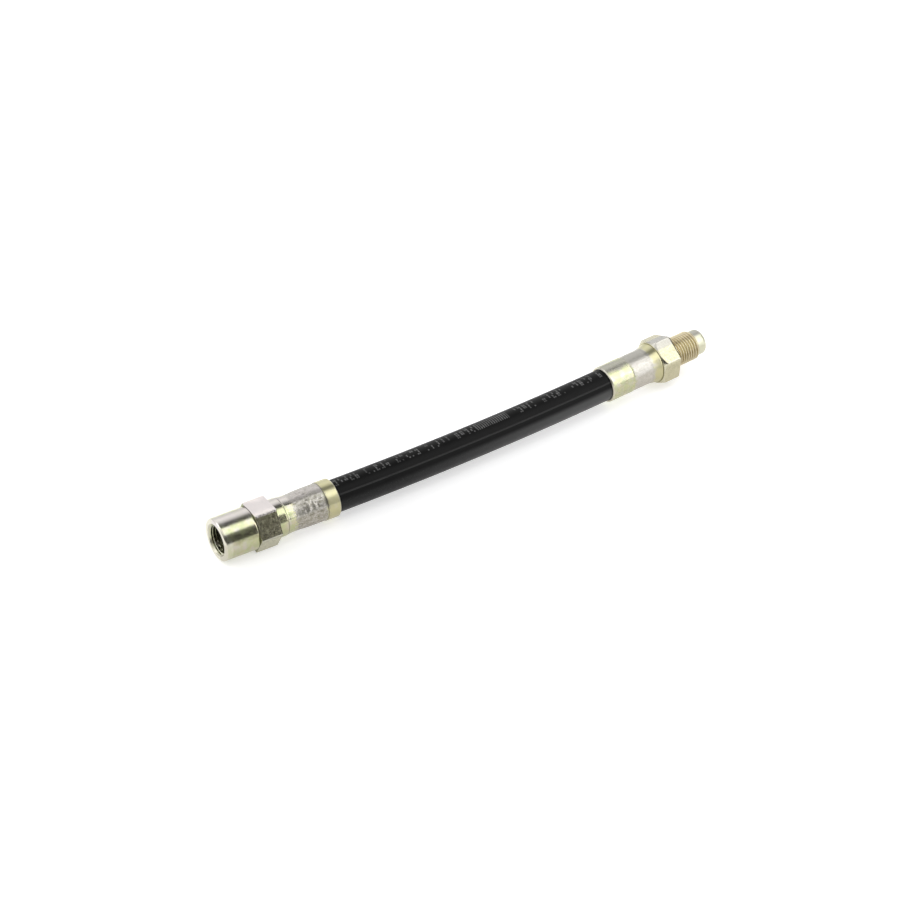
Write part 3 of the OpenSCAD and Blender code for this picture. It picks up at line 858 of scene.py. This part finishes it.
def male_fitting():
    angles = spoke_angles(MALE_CORNER)
    corner_wear = np.exp(-(from_corner(angles, MALE_CORNER) / math.radians(1.6)) ** 2)
    rings = Rings(angles)
    rim = [
        (1.0, SHELL_BORE_R), (0, SHELL_BORE_R), (0, MALE_SHELL_R - 0.35),
        (0.35, MALE_SHELL_R), (0.5, MALE_SHELL_R),
    ]
    rings.line(soften(rim, 0.15), 0.05)
    stations = np.arange(0.6, MALE_CRIMP_END, 0.15)
    base = np.interp(
        stations,
        [MALE_MOUTH_END, MALE_MOUTH_END + RAMP, MALE_CRIMP_END - RAMP, MALE_CRIMP_END],
        [MALE_SHELL_R, MALE_CRIMP_R, MALE_CRIMP_R, MALE_SHELL_R],
    )
    for station, radius in zip(stations, base):
        relief, recess_shade = crimp_marks(station, angles, MALE_MOUTH_END, MALE_CRIMP_END, MALE_EDGE_SHADE)
        rings.add(station, radius + relief, recess_shade)
    flare_end = MALE_WRENCH_START - FLARE_LIP
    for share in np.linspace(0, 1, 14):
        station = MALE_FLARE_START + (flare_end - MALE_FLARE_START) * share
        rings.add(station, MALE_SHELL_R + (MALE_FLARE_R - MALE_SHELL_R) * share ** FLARE_CURVE)
    # Painted shade under the flare's lip, against the hexagon
    rings.add(MALE_WRENCH_START - 0.06, MALE_FLARE_R, -0.3)
    rings.add(MALE_WRENCH_START, MALE_FLARE_R, -0.7)
    full = hexagon(angles, MALE_CORNER)
    rings.add(MALE_WRENCH_START, MALE_FLARE_R + 0.04, -0.5)
    rings.add(MALE_WRENCH_START, np.minimum(full, NECK_FACE_R) - 0.03, 0.1)
    neck_chamfer = np.maximum(full - NECK_FACE_R, 0) * math.tan(NECK_CHAMFER)
    thread_chamfer = np.maximum(full - THREAD_FACE_R, 0) * math.tan(THREAD_CHAMFER)
    near = MALE_WRENCH_START + 0.04 + neck_chamfer
    far = MALE_WRENCH_END - 0.04 - thread_chamfer
    rings.add(near - 0.03, full - 0.02, 0.3)
    for share in np.linspace(0, 1, 14):
        rings.add(near + (far - near) * share, full, 0.5 * corner_wear)
    rings.add(far + 0.03, full - 0.02, 0.3)
    rings.add(MALE_WRENCH_END, np.minimum(full, THREAD_FACE_R) - 0.03, 0.2)
    # Painted shade where the thread starts at the hexagon
    rings.add(MALE_WRENCH_END, THREAD_CORE_R + 0.35, -0.4)
    rings.add(MALE_WRENCH_END, THREAD_CORE_R + 0.25, -0.9)
    steps = int((THREAD_END - MALE_WRENCH_END) / PITCH * RINGS_PER_PITCH)
    for station in np.linspace(MALE_WRENCH_END + 0.04, THREAD_END, steps + 1):
        run_out = smooth_step(station, MALE_WRENCH_END + 0.1, MALE_WRENCH_END + 1.0)
        height = thread_height(station, angles, 0.14, 0.22) * run_out
        radius = THREAD_CORE_R + (THREAD_R - THREAD_CORE_R) * height
        lead_out = NOSE_R + max(THREAD_END - station, 0)
        # Crests worn bright, roots in painted shade
        rings.add(station, np.minimum(radius, lead_out), 0.65 * height - 0.35)
    nose = [
        (THREAD_END + 0.1, NOSE_R), (MALE_LEN - NOSE_ROUND, NOSE_R), (MALE_LEN, NOSE_R - NOSE_ROUND),
        (MALE_LEN, PASSAGE_R), (MALE_LEN - 1.0, PASSAGE_R),
    ]
    rings.line(soften(nose, 0.5, 4), 0.1)
    inside = bore_inside(
        MALE_LEN - 1.2, MALE_MOUTH_END, MALE_CRIMP_END, MALE_CRIMP_R - CRIMP_WALL, 0, 1)
    rings.line(inside[:0:-1])
    lay = rings.local()
    steel = plated_steel(
        "plated_steel_male", scuffed=(MALE_MOUTH_END + 0.2, MALE_CRIMP_END + 0.5),
        wrench=(MALE_WRENCH_START, MALE_WRENCH_END), bright=(MALE_CRIMP_END + 0.6, MALE_WRENCH_START),
        thread=(MALE_WRENCH_END, THREAD_END), painted_top_tint=ZINC_MUTED_TOP_SHADE, painted_upper_flat_tint=ZINC_MUTED_TOP_SHADE,
        staining_and_shade=0.3, gloss=0.25)
    points = lay * MM @ np.array(MALE_PLACE.to_3x3()).T + np.array(MALE_PLACE.translation)
    piece = closed_skin("male_fitting_skin", points, lay, np.array(rings.wear_and_painted_light), steel)
    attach(piece, "male_end")
    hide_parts("male_fitting")


female_fitting()
male_fitting()

male_axis = tuple(MALE_PLACE.to_3x3() @ Vector((1, 0, 0)))
for node_name, axis in (("female_nipple", (1.0, 0.0, 0.0)), ("male_nipple", male_axis)):
    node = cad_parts[node_name]
    node.data.materials.clear()
    node.data.materials.append(nipple_steel("nipple_steel_" + node_name.split("_")[0], axis))


# ---------------------------------------------------------------- floor and light

# The floor is a lit table, which keeps the object's shadow pale
FLOOR_GLOW = 0.5
FLOOR_HALF_SIZE = 8.0


def add_floor():
    material, g = new_material("floor")
    coords = g.add("ShaderNodeTexCoord").outputs["Object"]
    tone = g.noise(coords, 40.0, 3.0)
    tint = g.mix(g.fit(tone, 0.3, 0.7), (0.80, 0.80, 0.80, 1), (0.81, 0.81, 0.81, 1))
    rough = g.fit(tone, 0.3, 0.7, 0.75, 0.85)
    glow = {"Emission Color": (1, 1, 1, 1), "Emission Strength": FLOOR_GLOW}
    finish_shader(g, {"Base Color": tint, "Roughness": rough, **glow})
    mesh = bpy.data.meshes.new("floor")
    half = FLOOR_HALF_SIZE
    corners = [(-half, -half, 0), (half, -half, 0), (half, half, 0), (-half, half, 0)]
    mesh.from_pydata(corners, [], [(0, 1, 2, 3)])
    mesh.materials.append(material)
    floor = bpy.data.objects.new("floor", mesh)
    floor.location.z = FLOOR_Z
    scene.collection.objects.link(floor)


def softbox(name, aim, direction, along, distance, length, width, radiance):
    """A rectangular soft light at a distance from the point it is aimed at, its long side along a line."""
    towards = Vector(direction).normalized()
    side = Vector(along) - Vector(along).dot(towards) * towards
    side.normalize()
    turn = Matrix((side, towards.cross(side), towards)).transposed()
    data = bpy.data.lights.new(name, "AREA")
    data.shape = "RECTANGLE"
    data.size = length
    data.size_y = width
    data.energy = radiance * length * width * 4
    light = bpy.data.objects.new(name, data)
    light.matrix_world = Matrix.Translation(Vector(aim) + towards * distance) @ turn.to_4x4()
    light.visible_camera = False
    scene.collection.objects.link(light)


def overhead(angle):
    """Direction at an angle from overhead, in degrees, positive towards the camera's side."""
    return (0, -math.sin(math.radians(angle)), math.cos(math.radians(angle)))


# Brightness of the surroundings by angle from overhead, in degrees, positive towards the camera's side
SURROUNDINGS = [
    (-180, 0.6), (-105, 0.75), (-78, 0.9), (-52, 1.25), (-33, 0.9), (-19, 0.10),
    (3, 0.06), (40, 0.15), (60, 0.05), (88, 0.05), (96, 0.5), (180, 0.6),
]


def add_world():
    world = bpy.data.worlds.new("Studio")
    world.use_nodes = True
    scene.world = world
    g = Graph(world.node_tree)
    x, y, z = g.split(g.add("ShaderNodeTexCoord").outputs["Generated"])
    angle = g.math("DEGREES", g.math("ARCTAN2", g.math("MULTIPLY", y, -1.0), z))
    ramp = g.add("ShaderNodeValToRGB", {0: g.math("ADD", g.math("DIVIDE", angle, 360.0), 0.5)})
    brightest = max(level for _, level in SURROUNDINGS)
    stops = ramp.color_ramp.elements
    while len(stops) < len(SURROUNDINGS):
        stops.new(0.5)
    for stop, (at, level) in zip(stops, SURROUNDINGS):
        stop.position = at / 360 + 0.5
        stop.color = grey(level / brightest)
    light = g.add("ShaderNodeBackground", {"Color": ramp.outputs[0], "Strength": brightest})
    output = g.add("ShaderNodeOutputWorld")
    g.tree.links.new(light.outputs[0], output.inputs[0])


add_floor()
add_world()
ALONG_X = (1, 0, 0)
SOFTBOX_DISTANCE = 0.45
softbox("key", (0.09, 0, 0), (-0.75, 0.1, 1.0), (0, 1, 0), 1.4, 1.8, 1.8, 0.8)
softbox("strip", (0.30, 0, 0), overhead(22), ALONG_X, SOFTBOX_DISTANCE, 0.5, 0.30, 1.25)
softbox("side", (0.46, 0, 0), overhead(60), ALONG_X, SOFTBOX_DISTANCE, 0.4, 0.38, 1.5)
softbox("over", (0.49, 0, 0), overhead(30), ALONG_X, SOFTBOX_DISTANCE, 0.26, 0.32, 0.6)
softbox("near", (0.53, 0, 0), overhead(-9), ALONG_X, SOFTBOX_DISTANCE, 0.3, 0.18, 1.3)

scene.view_settings.view_transform = "Standard"
